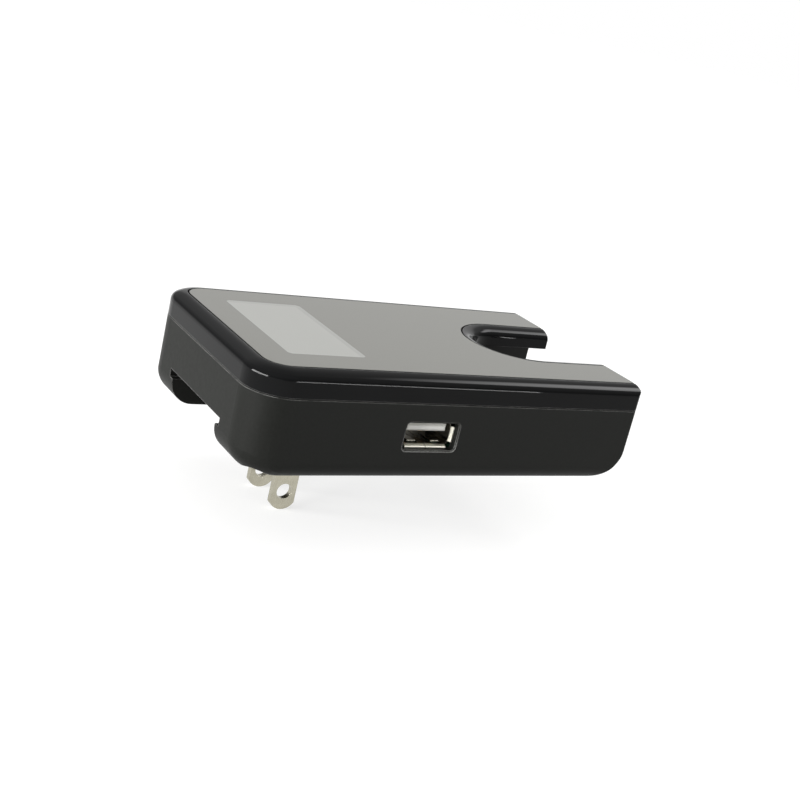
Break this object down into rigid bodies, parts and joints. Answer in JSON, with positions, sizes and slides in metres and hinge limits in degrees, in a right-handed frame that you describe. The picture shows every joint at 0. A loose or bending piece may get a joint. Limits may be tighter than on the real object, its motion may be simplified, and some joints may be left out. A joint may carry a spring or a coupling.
{
  "type": "camera battery charger",
  "caption": "Plug-in camera battery charger: black two-part case with a flush display panel, U-shaped thumb notch over an open-ended battery bay, side USB socket and fold-out mains blades.",
  "frame": {"origin": "on the wall face, midway between the plug blades", "axes": "+X along the body from the plug end to the mouth of the battery bay, +Y away from the USB side, +Z from the wall out to the display panel"},
  "size_m": [0.105, 0.0614, 0.0434],
  "materials": {
    "matt_black": "fine matt texture",
    "gloss_black": "high gloss",
    "panel_grey": "high gloss",
    "window_grey": "high gloss",
    "display_glass": "polarised glass",
    "white_plastic": "diffusing",
    "board_green": "solder resist",
    "steel": "zinc plated",
    "spring_bronze": "bright",
    "black_plastic": "moulded",
    "gold": "gold flash",
    "bright_steel": "nickel plated",
    "pale_plastic": "moulded",
    "ferrite": "sintered",
    "tape_yellow": "tape wrapped",
    "capacitor_sleeve": "shrink sleeve",
    "box_blue": "moulded box",
    "tantalum_box": "moulded box",
    "fuse_brown": "moulded box",
    "nickel": "nickel plated"
  },
  "bodies": {
    "charger": {"lower_housing": "matt_black", "top_cover": "gloss_black", "top_panel": "panel_grey", "display_window": "window_grey", "display_glass": "display_glass", "display_backlight": "white_plastic", "display_board": "board_green", "display_screws": "steel", "housing_screws": "steel", "mains_contact_near": "spring_bronze", "mains_contact_far": "spring_bronze", "detent_spring": "steel", "main_board": "board_green", "board_screws": "steel", "header_strip": "black_plastic", "header_pins": "gold", "usb_shell": "bright_steel", "usb_tongue": "pale_plastic", "usb_contacts": "gold", "contact_block": "black_plastic", "battery_contacts": "gold", "transformer_core": "ferrite", "transformer_winding": "tape_yellow", "mains_capacitor": "capacitor_sleeve", "output_capacitors": "tantalum_box", "suppression_capacitor": "box_blue", "fuse": "fuse_brown", "rectifier": "black_plastic", "controller_chip": "black_plastic"},
    "plug": {"plug_carrier": "matt_black", "blade_near": "nickel", "blade_far": "nickel", "pivot_pins": "nickel"}
  },
  "joints": [
    {"name": "plug_fold", "type": "hinge", "parent": "charger", "child": "plug", "pos_m": [0, 0, 0.0042], "axis": [0, 1, 0], "range_deg": [0, 90]}
  ]
}
